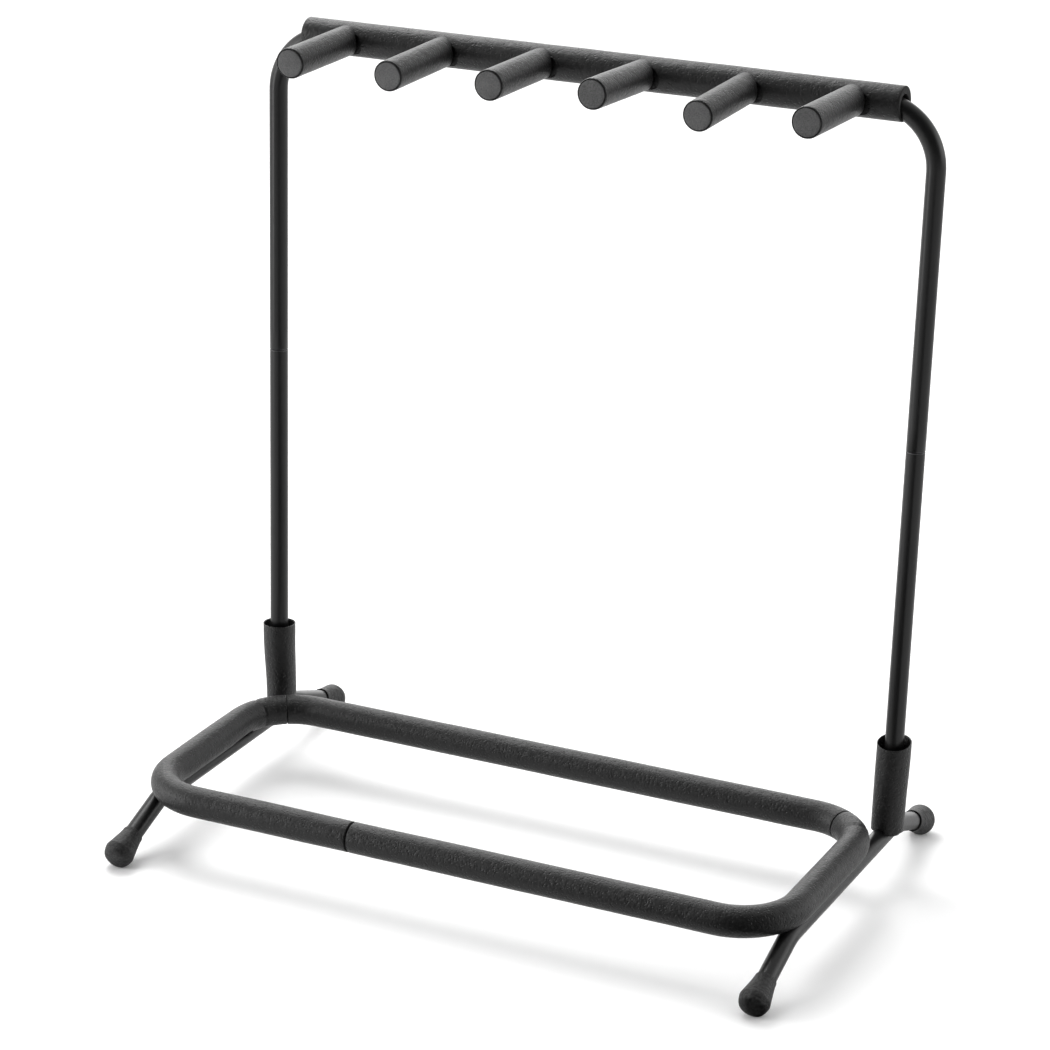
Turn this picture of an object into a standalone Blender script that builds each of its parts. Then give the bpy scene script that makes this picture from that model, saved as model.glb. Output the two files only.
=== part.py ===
"""Guitar rack for five instruments: a padded floor ring on two arched leg tubes, with a knock-down
upright frame that carries a padded rail and six padded pegs.

Units are metres. +X is to the right as seen from the front, +Y points to the back and +Z is up.
The origin is on the floor, at the middle of the footprint.
"""

import math

import bmesh
import bpy
from mathutils import Matrix, Quaternion, Vector

# Round tube that every steel piece is made of
TUBE_R = 0.008
TUBE_WALL = 0.0012
CLEARANCE = 0.0004
TUBE_SIDES = 16

# Leg tubes: one on each side, running front to back, with both ends bent down
LEG_X = 0.292
LEG_Z = 0.0375
LEG_FLAT = 0.231
LEG_DROP = math.radians(20.5)
LEG_BEND_R = 0.050
LEG_END = 0.0725

# Rubber boots on the ends of the leg tubes
BOOT_MOUTH = 0.0460
BOOT_BORE_DEPTH = 0.0280
BOOT_BORE_R = 0.00835

# Uprights: lower posts that stand in sockets, splayed and leaning back a little
POST_X = 0.2955
POST_Y = 0.0935
SPLAY = 0.0090
LEAN = 0.055
POST_FOOT_Z = 0.052
JOINT_Z = 0.3745
JOINT_REVEAL = 0.0012
SPIGOT_R = 0.0062
SPIGOT_LENGTH = 0.045

SOCKET_R = 0.00995
SOCKET_BORE_R = 0.00892
SOCKET_BOTTOM_Z = 0.0395
SOCKET_TOP_Z = 0.112
SLEEVE_R = 0.0141
SLEEVE_BORE_R = 0.0105
SLEEVE_BOTTOM_Z = 0.0425
SLEEVE_TOP_Z = 0.121

# Upper frame and the foam on its rail
RAIL_Z = 0.6569
FRAME_BEND_R = 0.051
RAIL_FOAM_R = 0.0146
RAIL_FOAM_HALF = 0.271
RAIL_MOUTH_R = 0.0105
RAIL_MOUTH_DEPTH = 0.020

# Pegs: stub tubes on the rail, each in a foam sleeve with a plugged tip
PEG_PITCH = 0.0919
PEG_TILTS = (0.3, 0.0, 1.4, 3.1, -0.8, 2.1)
PEG_START = 0.003
PEG_REACH = 0.1055
PEG_FOAM_R = 0.0129
PEG_TUBE_END = 0.0985
PEG_CAP_R = 0.0131
PEG_CAP_THICKNESS = 0.0036
PEG_CAP_EDGE = 0.0006
PEG_PLUG_LENGTH = 0.014

# Padded floor ring: a rounded rectangle that rests on the two leg tubes
RING_X = 0.2908
RING_FRONT_Y = -0.1446
RING_BACK_Y = 0.0676
RING_Z = 0.0539
RING_CORNER_R = 0.0504
RING_STEPS = 4
RING_FOAM_R = 0.0132
RING_FOAM_WALL = 0.0046
FRONT_SEAM_X = -0.088
CORNER_SEAM_ANGLE = math.radians(33.0)
SEAM_GAP = 0.0004
VENT_R = 0.002
VENT_SIDES = 8
RING_TUBE_SIDES = 12


# ---------------------------------------------------------------- scene and materials

def clear_scene():
    for item in list(bpy.data.objects):
        bpy.data.objects.remove(item, do_unlink=True)


def make_material(name, color, roughness, metallic):
    material = bpy.data.materials.new(name)
    material.use_nodes = True
    shader = material.node_tree.nodes["Principled BSDF"]
    shader.inputs["Base Color"].default_value = (*color, 1.0)
    shader.inputs["Roughness"].default_value = roughness
    shader.inputs["Metallic"].default_value = metallic
    material.diffuse_color = (*color, 1.0)
    return material


def black_steel():
    """Satin black powder coat on steel tube."""
    return make_material("black_steel", (0.020, 0.020, 0.021), 0.42, 0.3)


def black_foam():
    """Closed-cell foam with a fine skin."""
    return make_material("black_foam", (0.035, 0.035, 0.036), 0.78, 0.0)


def black_rubber():
    return make_material("black_rubber", (0.028, 0.028, 0.029), 0.68, 0.0)


def black_plastic():
    return make_material("black_plastic", (0.045, 0.045, 0.046), 0.60, 0.0)


# ---------------------------------------------------------------- shapes

def add_object(name, mesh, material):
    item = bpy.data.objects.new(name, mesh)
    bpy.context.scene.collection.objects.link(item)
    mesh.materials.clear()
    if material:
        mesh.materials.append(material)
    mesh.shade_smooth()
    mesh.set_sharp_from_angle(angle=math.radians(35.0))
    return item


def bent_path(corners, radius, steps):
    """The corner points joined by straight runs, with each inner corner turned into an arc."""
    points = [Vector(corners[0])]
    for before, corner, after in zip(corners, corners[1:], corners[2:]):
        corner = Vector(corner)
        back = (Vector(before) - corner).normalized()
        on = (Vector(after) - corner).normalized()
        inner = back.angle(on)
        centre = corner + (back + on).normalized() * (radius / math.sin(inner / 2))
        start = corner + back * (radius / math.tan(inner / 2))
        turn = math.pi - inner
        axis = back.cross(start - centre).normalized()
        for step in range(steps + 1):
            spoke = Quaternion(axis, turn * step / steps) @ (start - centre)
            points.append(centre + spoke)
    points.append(Vector(corners[-1]))
    return points


def sweep(name, path, radius, sides, closed=False, caps=False):
    """A round bar or skin along a path, as a mesh."""
    curve = bpy.data.curves.new(name + "_path", "CURVE")
    curve.dimensions = "3D"
    spline = curve.splines.new("POLY")
    spline.points.add(len(path) - 1)
    for point, place in zip(spline.points, path):
        point.co = (*place, 1.0)
    spline.use_cyclic_u = closed
    curve.bevel_depth = radius
    curve.bevel_resolution = sides // 2 - 2
    curve.use_fill_caps = caps
    holder = bpy.data.objects.new(name + "_path", curve)
    bpy.context.scene.collection.objects.link(holder)
    graph = bpy.context.evaluated_depsgraph_get()
    mesh = bpy.data.meshes.new_from_object(holder.evaluated_get(graph))
    bpy.data.objects.remove(holder, do_unlink=True)
    shape = bmesh.new()
    shape.from_mesh(mesh)
    bmesh.ops.remove_doubles(shape, verts=shape.verts, dist=1e-6)
    bmesh.ops.recalc_face_normals(shape, faces=shape.faces)
    shape.to_mesh(mesh)
    shape.free()
    mesh.name = name
    return mesh


def turned(name, profile, sides):
    """A closed outline of (radius, height) points turned about the Z axis."""
    shape = bmesh.new()
    verts = [shape.verts.new((radius, 0.0, height)) for radius, height in profile]
    edges = [shape.edges.new(pair) for pair in zip(verts, verts[1:])]
    if profile[0][0] > 0:
        edges.append(shape.edges.new((verts[-1], verts[0])))
    bmesh.ops.spin(
        shape, geom=verts + edges, axis=(0, 0, 1), cent=(0, 0, 0), steps=sides, angle=math.tau
    )
    bmesh.ops.remove_doubles(shape, verts=shape.verts, dist=1e-6)
    bmesh.ops.recalc_face_normals(shape, faces=shape.faces)
    mesh = bpy.data.meshes.new(name)
    shape.to_mesh(mesh)
    shape.free()
    return mesh


def place(item, origin, direction):
    """Puts the piece's own Z axis along the direction, starting at the origin."""
    item.location = origin
    item.rotation_mode = "QUATERNION"
    item.rotation_quaternion = Vector((0, 0, 1)).rotation_difference(Vector(direction).normalized())


def hollow(item, wall):
    """Gives an open skin a wall on its inner side."""
    modifier = item.modifiers.new("wall", "SOLIDIFY")
    modifier.thickness = wall
    modifier.offset = -1.0
    modifier.use_even_offset = True


def cut(item, cutter):
    modifier = item.modifiers.new("cut_" + cutter.name, "BOOLEAN")
    modifier.operation = "DIFFERENCE"
    modifier.solver = "EXACT"
    modifier.object = cutter


def cutter_of(name, mesh):
    item = add_object(name, mesh, None)
    item.hide_render = True
    item.display_type = "WIRE"
    return item


def bar_cutter(name, start, end, radius, sides=TUBE_SIDES):
    """A straight round cutter whose flats stand off by at least the radius."""
    outer = radius / math.cos(math.pi / sides)
    return cutter_of(name, sweep(name, [Vector(start), Vector(end)], outer, sides, caps=True))


# ---------------------------------------------------------------- where things are

def post_point(side, height):
    """A point on the axis of the left (-1) or right (+1) upright at this height above the floor."""
    rise = height - LEG_Z
    return Vector((side * (POST_X + SPLAY * rise), POST_Y + LEAN * rise, height))


def post_axis(side):
    return (post_point(side, 1.0) - post_point(side, 0.0)).normalized()


def rail_centre():
    return Vector((0.0, POST_Y + LEAN * (RAIL_Z - LEG_Z), RAIL_Z))


def leg_corners(side):
    """Front end, front bend, rear bend and rear end of a leg tube."""
    run = LEG_END * math.cos(LEG_DROP)
    drop = LEG_END * math.sin(LEG_DROP)
    half = LEG_FLAT / 2
    x = side * LEG_X
    return [
        (x, -half - run, LEG_Z - drop),
        (x, -half, LEG_Z),
        (x, half, LEG_Z),
        (x, half + run, LEG_Z - drop),
    ]


def frame_corners():
    """Centre line of the upper frame, from the foot of one leg over the rail to the other."""
    foot = JOINT_Z + JOINT_REVEAL
    return [post_point(-1, foot), post_point(-1, RAIL_Z), post_point(1, RAIL_Z), post_point(1, foot)]


def ring_path(steps):
    """Centre line of the floor ring, anticlockwise from the right end of its front bar."""
    x = RING_X - RING_CORNER_R
    front = RING_FRONT_Y + RING_CORNER_R
    back = RING_BACK_Y - RING_CORNER_R
    points = []
    for quarter, (cx, cy) in enumerate(((x, front), (x, back), (-x, back), (-x, front))):
        for step in range(steps + 1):
            angle = math.radians(-90 + 90 * quarter) + math.radians(90) * step / steps
            offset = Vector((math.cos(angle), math.sin(angle), 0.0)) * RING_CORNER_R
            points.append(Vector((cx, cy, RING_Z)) + offset)
    return points


def stretch(path, start, end):
    """Part of a closed path, between two distances along it from its first point."""
    loop = path + [path[0]]
    travelled = 0.0
    picked = []
    for lap in range(2):
        for a, b in zip(loop, loop[1:]):
            length = (b - a).length
            for mark in (start, end):
                if travelled <= mark < travelled + length:
                    picked.append((mark, a.lerp(b, (mark - travelled) / length)))
            travelled += length
            if start < travelled < end:
                picked.append((travelled, b))
    return [point for _, point in sorted(picked, key=lambda entry: entry[0])]


# ---------------------------------------------------------------- base

def make_leg(name, side, steel):
    path = bent_path(leg_corners(side), LEG_BEND_R, 3)
    item = add_object(name, sweep(name, path, TUBE_R, TUBE_SIDES), steel)
    hollow(item, TUBE_WALL)
    return item


def boot_profile():
    """Bell-shaped boot, from the bottom of its bore round the mouth to the tip."""
    return [
        (0.0, BOOT_BORE_DEPTH),
        (BOOT_BORE_R, BOOT_BORE_DEPTH),
        (BOOT_BORE_R, 0.0),
        (0.0091, 0.0),
        (0.0093, 0.0045),
        (0.0108, 0.0135),
        (0.0125, 0.0220),
        (0.0129, 0.0275),
        (0.0122, 0.0318),
        (0.0100, 0.0350),
        (0.0065, 0.0362),
        (0.0, 0.0362),
    ]


def make_boot(name, side, end, rubber):
    """end is -1 at the front and +1 at the rear."""
    item = add_object(name, turned(name, boot_profile(), TUBE_SIDES), rubber)
    direction = Vector((0.0, end * math.cos(LEG_DROP), -math.sin(LEG_DROP)))
    bend = Vector((side * LEG_X, end * LEG_FLAT / 2, LEG_Z))
    place(item, bend + direction * BOOT_MOUTH, direction)
    return item


def floor_cutter():
    """Everything below the floor, which flattens the underside of each boot."""
    shape = bmesh.new()
    bmesh.ops.create_cube(shape, size=1.0)
    bmesh.ops.translate(shape, verts=shape.verts, vec=(0.0, 0.0, -0.5))
    mesh = bpy.data.meshes.new("floor_cutter")
    shape.to_mesh(mesh)
    shape.free()
    return cutter_of("floor_cutter", mesh)


def make_collar(name, side, bottom, top, outer, bore, material):
    """A round tube round the foot of an upright, between two heights."""
    start = post_point(side, bottom)
    length = (post_point(side, top) - start).length
    profile = [(bore, 0.0), (outer, 0.0), (outer, length), (bore, length)]
    item = add_object(name, turned(name, profile, TUBE_SIDES), material)
    place(item, start, post_axis(side))
    return item


def make_base_side(word, side, steel, foam, rubber, floor):
    """Leg tube, boots, socket and sleeve of one side."""
    make_leg("leg_tube_" + word, side, steel)
    for end, where in ((-1, "front"), (1, "rear")):
        cut(make_boot("boot_" + where + "_" + word, side, end, rubber), floor)
    socket = make_collar(
        "post_socket_" + word, side, SOCKET_BOTTOM_Z, SOCKET_TOP_Z, SOCKET_R, SOCKET_BORE_R, steel
    )
    sleeve = make_collar(
        "socket_sleeve_" + word, side, SLEEVE_BOTTOM_Z, SLEEVE_TOP_Z, SLEEVE_R, SLEEVE_BORE_R, foam
    )
    half = LEG_FLAT / 2
    start, end = (side * LEG_X, -half, LEG_Z), (side * LEG_X, half + LEG_END, LEG_Z)
    leg_space = bar_cutter("leg_space_" + word, start, end, TUBE_R + CLEARANCE)
    cut(socket, leg_space)
    cut(sleeve, leg_space)


def make_ring_tube(steel):
    skin = sweep("ring_tube", ring_path(RING_STEPS), TUBE_R, RING_TUBE_SIDES, closed=True)
    item = add_object("ring_tube", skin, steel)
    hollow(item, TUBE_WALL)
    low = (0.0, RING_BACK_Y, RING_Z - 2 * TUBE_R)
    cut(item, bar_cutter("ring_vent", low, (0.0, RING_BACK_Y, RING_Z), VENT_R, VENT_SIDES))
    return item


def path_length(path):
    return sum((b - a).length for a, b in zip(path, path[1:]))


def ring_seams():
    """Distances along the ring path of its rear right, rear left and front seams."""
    arc = path_length(ring_path(RING_STEPS)[: RING_STEPS + 1])
    side_run = RING_BACK_Y - RING_FRONT_Y - 2 * RING_CORNER_R
    bar_run = 2 * (RING_X - RING_CORNER_R)
    share = CORNER_SEAM_ANGLE / math.radians(90)
    rear_right = arc + side_run + arc * (1.0 - share)
    rear_left = 2 * arc + side_run + bar_run + arc * share
    front = 4 * arc + 2 * side_run + 1.5 * bar_run + FRONT_SEAM_X
    return rear_right, rear_left, front


def ring_leg_space(word, side):
    """The room that a leg tube takes out of the foam that lies on it."""
    name = "ring_leg_space_" + word
    outer = (TUBE_R + CLEARANCE) / math.cos(math.pi / TUBE_SIDES)
    path = bent_path(leg_corners(side), LEG_BEND_R, 3)
    return cutter_of(name, sweep(name, path, outer, TUBE_SIDES, caps=True))


def make_ring_foam(foam):
    """Three lengths of foam, whose ends meet on the front bar and at both rear corners."""
    path = ring_path(RING_STEPS)
    total = path_length(path + path[:1])
    rear_right, rear_left, front = ring_seams()
    lengths = {
        "ring_foam_rear": (rear_right, rear_left),
        "ring_foam_left": (rear_left, front),
        "ring_foam_right": (front, total + rear_right),
    }
    spaces = [ring_leg_space("left", -1), ring_leg_space("right", 1)]
    for name, (start, end) in lengths.items():
        run = stretch(path, start + SEAM_GAP / 2, end - SEAM_GAP / 2)
        item = add_object(name, sweep(name, run, RING_FOAM_R, TUBE_SIDES), foam)
        hollow(item, RING_FOAM_WALL)
        for space in spaces:
            cut(item, space)


# ---------------------------------------------------------------- uprights

def make_lower_post(name, side, steel):
    """Tube with its top end drawn in to a spigot."""
    start = post_point(side, POST_FOOT_Z)
    shoulder = (post_point(side, JOINT_Z) - start).length
    inside = TUBE_R - TUBE_WALL
    spigot_bore = SPIGOT_R - TUBE_WALL
    tip = shoulder + SPIGOT_LENGTH
    profile = [
        (inside, 0.0),
        (TUBE_R, 0.0),
        (TUBE_R, shoulder),
        (SPIGOT_R, shoulder + 0.0015),
        (SPIGOT_R, tip - 0.0015),
        (SPIGOT_R - 0.0008, tip),
        (spigot_bore, tip),
        (spigot_bore, shoulder - 0.004),
        (inside, shoulder - 0.007),
    ]
    item = add_object(name, turned(name, profile, TUBE_SIDES), steel)
    place(item, start, post_axis(side))
    return item


def make_upper_frame(steel):
    path = bent_path(frame_corners(), FRAME_BEND_R, 6)
    item = add_object("upper_frame", sweep("upper_frame", path, TUBE_R, TUBE_SIDES), steel)
    hollow(item, TUBE_WALL)
    return item


def peg_direction(index):
    tilt = math.radians(PEG_TILTS[index])
    return Vector((0.0, -math.cos(tilt), math.sin(tilt)))


def peg_root(index):
    middle = (len(PEG_TILTS) - 1) / 2
    return rail_centre() + Vector(((index - middle) * PEG_PITCH, 0.0, 0.0))


def make_rail_foam(foam):
    """Foam tube on the rail, opened for the bent tube, its two mouths and the peg stubs."""
    centre = rail_centre()
    half = Vector((RAIL_FOAM_HALF, 0.0, 0.0))
    skin = sweep("rail_foam", [centre - half, centre + half], RAIL_FOAM_R, TUBE_SIDES, caps=True)
    item = add_object("rail_foam", skin, foam)
    outer = (TUBE_R + CLEARANCE) / math.cos(math.pi / TUBE_SIDES)
    frame_space = sweep(
        "frame_space", bent_path(frame_corners(), FRAME_BEND_R, 6), outer, TUBE_SIDES, caps=True
    )
    cut(item, cutter_of("frame_space", frame_space))
    for word, side in (("left", -1), ("right", 1)):
        deep = centre + side * (half - Vector((RAIL_MOUTH_DEPTH, 0.0, 0.0)))
        out = centre + side * (half + Vector((RAIL_MOUTH_DEPTH, 0.0, 0.0)))
        cut(item, bar_cutter("rail_mouth_" + word, deep, out, RAIL_MOUTH_R))
    for index in range(len(PEG_TILTS)):
        root = peg_root(index)
        out = root + peg_direction(index) * RAIL_FOAM_R * 2
        cut(item, bar_cutter(f"peg_hole_{index + 1}", root, out, TUBE_R + CLEARANCE))
    return item


def peg_tube_profile():
    inside = TUBE_R - TUBE_WALL
    return [
        (inside, PEG_START),
        (TUBE_R, PEG_START),
        (TUBE_R, PEG_TUBE_END),
        (inside, PEG_TUBE_END),
    ]


def peg_foam_profile():
    bore = TUBE_R + 2 * CLEARANCE
    end = PEG_REACH - PEG_CAP_THICKNESS - CLEARANCE
    return [(bore, PEG_START), (PEG_FOAM_R, PEG_START), (PEG_FOAM_R, end), (bore, end)]


def peg_cap_profile():
    """Plug that goes into the tube, and the disc that covers the end of the foam."""
    plug = TUBE_R - TUBE_WALL - 2 * CLEARANCE
    head = PEG_REACH - PEG_CAP_THICKNESS
    return [
        (0.0, head - PEG_PLUG_LENGTH),
        (plug, head - PEG_PLUG_LENGTH),
        (plug, head),
        (PEG_CAP_R, head),
        (PEG_CAP_R, PEG_REACH - PEG_CAP_EDGE),
        (PEG_CAP_R - PEG_CAP_EDGE, PEG_REACH),
        (0.0, PEG_REACH),
    ]


def turned_on_peg(name, index, profile, material):
    item = add_object(name, turned(name, profile, TUBE_SIDES), material)
    place(item, peg_root(index), peg_direction(index))
    return item


def make_peg(index, steel, foam, plastic, tube_space, foam_space):
    """Stub tube, foam sleeve and tip plug of one peg."""
    number = str(index + 1)
    cut(turned_on_peg("peg_tube_" + number, index, peg_tube_profile(), steel), tube_space)
    cut(turned_on_peg("peg_foam_" + number, index, peg_foam_profile(), foam), foam_space)
    turned_on_peg("peg_cap_" + number, index, peg_cap_profile(), plastic)


def make_pegs(steel, foam, plastic):
    reach = Vector((RAIL_FOAM_HALF, 0.0, 0.0))
    start, end = rail_centre() - reach, rail_centre() + reach
    tube_space = bar_cutter("rail_tube_space", start, end, TUBE_R + CLEARANCE)
    foam_space = bar_cutter("rail_foam_space", start, end, RAIL_FOAM_R + CLEARANCE)
    for index in range(len(PEG_TILTS)):
        make_peg(index, steel, foam, plastic, tube_space, foam_space)


def main():
    clear_scene()
    steel, foam, rubber, plastic = black_steel(), black_foam(), black_rubber(), black_plastic()
    floor = floor_cutter()
    for word, side in (("left", -1), ("right", 1)):
        make_base_side(word, side, steel, foam, rubber, floor)
        make_lower_post("lower_post_" + word, side, steel)
    make_ring_tube(steel)
    make_ring_foam(foam)
    make_upper_frame(steel)
    make_rail_foam(foam)
    make_pegs(steel, foam, plastic)


main()
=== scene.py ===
"""Guitar rack: its visible pieces, their finishes and a studio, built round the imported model.

Laid out as a Blender add-on and run as a script. Units are metres, +X is to the right as seen from
the front, +Y points to the back and +Z is up. The origin is on the floor, under the middle.
"""

import math

import bpy
from bpy.props import FloatProperty, FloatVectorProperty, IntProperty, PointerProperty
from mathutils import Matrix, Quaternion, Vector


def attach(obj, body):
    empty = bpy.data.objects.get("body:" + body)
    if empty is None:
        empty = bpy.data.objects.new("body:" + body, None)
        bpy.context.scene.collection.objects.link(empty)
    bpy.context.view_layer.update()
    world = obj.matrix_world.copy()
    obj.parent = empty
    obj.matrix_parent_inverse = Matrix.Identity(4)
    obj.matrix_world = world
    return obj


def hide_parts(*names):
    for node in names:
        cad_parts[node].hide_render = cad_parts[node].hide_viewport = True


bl_info = {
    "name": "Guitar Rack",
    "version": (1, 0, 0),
    "blender": (4, 5, 0),
    "location": "3D View > Sidebar > Guitar Rack",
    "description": "Builds a padded rack for five guitars and a plain studio round it",
    "category": "Add Mesh",
}

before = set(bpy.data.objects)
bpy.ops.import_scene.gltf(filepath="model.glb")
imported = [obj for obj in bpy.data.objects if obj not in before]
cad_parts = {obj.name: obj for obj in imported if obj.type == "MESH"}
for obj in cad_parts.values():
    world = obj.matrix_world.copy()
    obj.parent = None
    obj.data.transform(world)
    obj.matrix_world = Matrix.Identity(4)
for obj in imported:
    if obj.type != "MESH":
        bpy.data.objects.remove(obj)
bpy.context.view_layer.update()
SIDES = (("left", -1), ("right", 1))

# How much wider than its tube a hole is cut
CLEARANCE = 0.0002
PEG_CLEARANCE = 0.0004

# How far edges are rounded
TUBE_EDGE = 0.0003
FOOT_EDGE = 0.0005
FOAM_EDGE = 0.0009

# Length of the steps in a tube's straight runs
TUBE_STEP = 0.02

# Leg tubes and boots
LEG_X = 0.292
LEG_Z = 0.0375
LEG_HALF = 0.1155
LEG_DROP = math.radians(20.5)
LEG_BEND_R = 0.050
LEG_END = 0.0725
BOOT_MOUTH = 0.0460

# Posts, their sockets and sleeves, and the upper frame
POST_X = 0.2955
POST_Y = 0.0935
SPLAY = 0.0090
LEAN = 0.055
POST_FOOT_Z = 0.052
JOINT_Z = 0.3745
JOINT_REVEAL = 0.0012
FRAME_LIFT = 0.0005
SPIGOT_LENGTH = 0.045
SPIGOT_RADIUS = 0.0062
SPIGOT_BORE = 0.0050
SOCKET_SPAN = (0.0395, 0.112)
SLEEVE_SPAN = (0.0425, 0.121)
SLEEVE_BORE = 0.0102
RAIL_Z = 0.6569
FRAME_BEND_R = 0.051
RAIL_FOAM_HALF = 0.271
RAIL_FOAM_BORE = 0.0086
RAIL_FOAM_MOUTH = 0.0094
RAIL_FOAM_SAG = 0.0012

# Pegs, counted from the left end of the rail
PEG_PITCH = 0.0919
PEG_TILTS = (0.3, 0.0, 1.4, 3.1, -0.8, 2.1)
PEG_REACH = 0.1055
PEG_FOAM_START = 0.003
PEG_CAP_THICKNESS = 0.0036
PEG_FOAM_BORE = 0.0088
PEG_SLACK_SHIFT = Vector((0.0084, 0.0, -0.0016))
PEG_SLACK_DEPTH = 0.0094
PEG_SLACK_R = 0.0092

# Floor ring
RING_X = 0.2908
RING_FRONT_Y = -0.1446
RING_BACK_Y = 0.0676
RING_Z = 0.0539
RING_CORNER_R = 0.0504
RING_ARC = RING_CORNER_R * math.pi / 2
FRONT_SEAM_X = -0.088
CORNER_SEAM = math.radians(33.0)
RING_FOAM_WALL = 0.0046


# ---------------- settings

def length_setting(name, description, default, precision=4):
    return FloatProperty(
        name=name, description=description, default=default, unit="LENGTH", precision=precision)


def share_setting(name, description, default):
    return FloatProperty(
        name=name, description=description, default=default, min=0.0, max=1.0, subtype="FACTOR")


def colour_setting(name, description, default):
    return FloatVectorProperty(
        name=name, description=description, default=default, size=3, min=0.0, max=1.0,
        subtype="COLOR")


class RackSizes(bpy.types.PropertyGroup):
    """Sizes that can change without moving a piece"""

    tube_radius: length_setting("Tube radius", "Outside radius of the steel tube", 0.008)
    tube_wall: length_setting("Tube wall", "Wall of the steel tube", 0.0012)
    ring_foam_radius: length_setting("Ring foam radius", "Outside radius of its foam", 0.0132)
    rail_foam_radius: length_setting("Rail foam radius", "Outside radius of its foam", 0.0146)
    peg_foam_radius: length_setting("Peg foam radius", "Outside radius of its foam", 0.0129)
    sleeve_radius: length_setting(
        "Sleeve radius", "Outside radius of a socket sleeve at its mouth", 0.0145)
    front_seam_gap: length_setting(
        "Front seam gap", "Gap between the ring's foam lengths on the front bar", 0.0012)
    corner_seam_gap: length_setting(
        "Corner seam gap", "Gap between the ring's foam lengths at the rear corners", 0.0004)
    unevenness: length_setting("Unevenness", "How far the foam's skin rises and falls", 0.0005, 5)
    sides: IntProperty(
        name="Sides", description="Faces round each tube and foam sleeve",
        default=56, min=16, max=128)


class RackColours(bpy.types.PropertyGroup):
    """Colours and gloss of the finishes"""

    foam: colour_setting("Foam", "Colour of the closed-cell foam", (0.0055, 0.0055, 0.0056))
    foam_roughness: share_setting("Foam roughness", "How dull the foam's skin is", 0.44)
    coat: colour_setting("Powder coat", "Colour of the coat on the steel", (0.0088, 0.0088, 0.0090))
    coat_roughness: share_setting("Coat roughness", "How dull the powder coat is", 0.32)
    rubber: colour_setting("Rubber", "Colour of the boots", (0.013, 0.013, 0.0131))
    plastic: colour_setting("Plastic", "Colour of the pegs' end caps", (0.092, 0.092, 0.0925))
    floor: colour_setting("Floor", "Colour of the studio floor", (0.93, 0.93, 0.93))


def sizes():
    return bpy.context.scene.rack_sizes


def colours():
    return bpy.context.scene.rack_colours


# ---------------- working by hand

def put_all_down():
    """Object mode, with nothing selected."""
    if bpy.context.mode != "OBJECT":
        bpy.ops.object.mode_set(mode="OBJECT")
    bpy.ops.object.select_all(action="DESELECT")


def pick_up(piece):
    put_all_down()
    piece.select_set(True)
    bpy.context.view_layer.objects.active = piece


def start_ring(name, centre, direction, radius, sides=None):
    """A ring of edges, selected in edit mode and ready to be drawn out."""
    put_all_down()
    turn = Vector((0, 0, 1)).rotation_difference(direction.normalized()).to_euler()
    bpy.ops.mesh.primitive_circle_add(
        vertices=sides or sizes().sides, radius=radius, fill_type="NOTHING",
        location=centre, rotation=turn)
    piece = bpy.context.object
    piece.name = name
    piece.data.name = name
    bpy.ops.object.transform_apply(location=True, rotation=True, scale=True)
    bpy.ops.object.mode_set(mode="EDIT")
    bpy.ops.mesh.select_mode(type="EDGE")
    bpy.ops.mesh.select_all(action="SELECT")
    return piece


def draw_out(step, count=1):
    """Extrudes the selected ring by this step, in equal parts."""
    part = step / count
    for _ in range(count):
        bpy.ops.mesh.extrude_region_move(
            TRANSFORM_OT_translate={"value": part, "orient_type": "GLOBAL"})


def swing(centre, axis, angle, count=1):
    """Extrudes the selected ring round an axis. The spin tool counts its angle clockwise."""
    bpy.ops.mesh.spin(steps=count, angle=-angle, center=centre, axis=axis)


def size_ring(scale, centre):
    """Scales the selected ring about a point."""
    bpy.ops.transform.resize(
        value=(scale, scale, scale), orient_type="GLOBAL", center_override=centre)


def draw_through(stops):
    """Draws the selected ring, which stands at the first (radius, centre), through the others."""
    for (radius, here), (next_radius, goal) in zip(stops, stops[1:]):
        draw_out(goal - here)
        size_ring(next_radius / radius, goal)


def turn_up(name, foot, direction, profile, sides=None):
    """An open piece drawn through (radius, height) points above its foot, still in edit mode."""
    stops = [(radius, foot + direction * height) for radius, height in profile]
    piece = start_ring(name, stops[0][1], direction, stops[0][0], sides)
    draw_through(stops)
    return piece


def close_loop():
    """Joins the first ring and the last one."""
    bpy.ops.mesh.select_mode(type="EDGE")
    bpy.ops.mesh.select_all(action="DESELECT")
    bpy.ops.mesh.select_non_manifold(
        extend=False, use_wire=False, use_boundary=True, use_multi_face=False,
        use_non_contiguous=False, use_verts=False)
    bpy.ops.mesh.bridge_edge_loops()


def close_ends():
    """Fills the first ring and the last one with one face each."""
    bpy.ops.mesh.select_all(action="SELECT")
    bpy.ops.mesh.fill_holes(sides=0)


def face_outwards():
    """Cleans the mesh, turns its faces outwards and leaves edit mode."""
    bpy.ops.mesh.select_all(action="SELECT")
    bpy.ops.mesh.remove_doubles(threshold=1e-6)
    bpy.ops.mesh.normals_make_consistent(inside=False)
    bpy.ops.object.mode_set(mode="OBJECT")


def apply(piece, modifier):
    pick_up(piece)
    bpy.ops.object.modifier_apply(modifier=modifier.name)


def give_wall(piece, wall):
    """Turns an open skin into a wall that grows inwards; the rims take the second material."""
    modifier = piece.modifiers.new("wall", "SOLIDIFY")
    modifier.thickness = wall
    modifier.offset = -1.0
    modifier.use_even_offset = True
    modifier.material_offset_rim = 1
    apply(piece, modifier)


def round_edges(piece, width, segments=2):
    """Rounds every edge that is sharper than 50 degrees."""
    modifier = piece.modifiers.new("round", "BEVEL")
    modifier.width = width
    modifier.segments = segments
    modifier.limit_method = "ANGLE"
    modifier.angle_limit = math.radians(50.0)
    modifier.use_clamp_overlap = True
    apply(piece, modifier)


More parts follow.
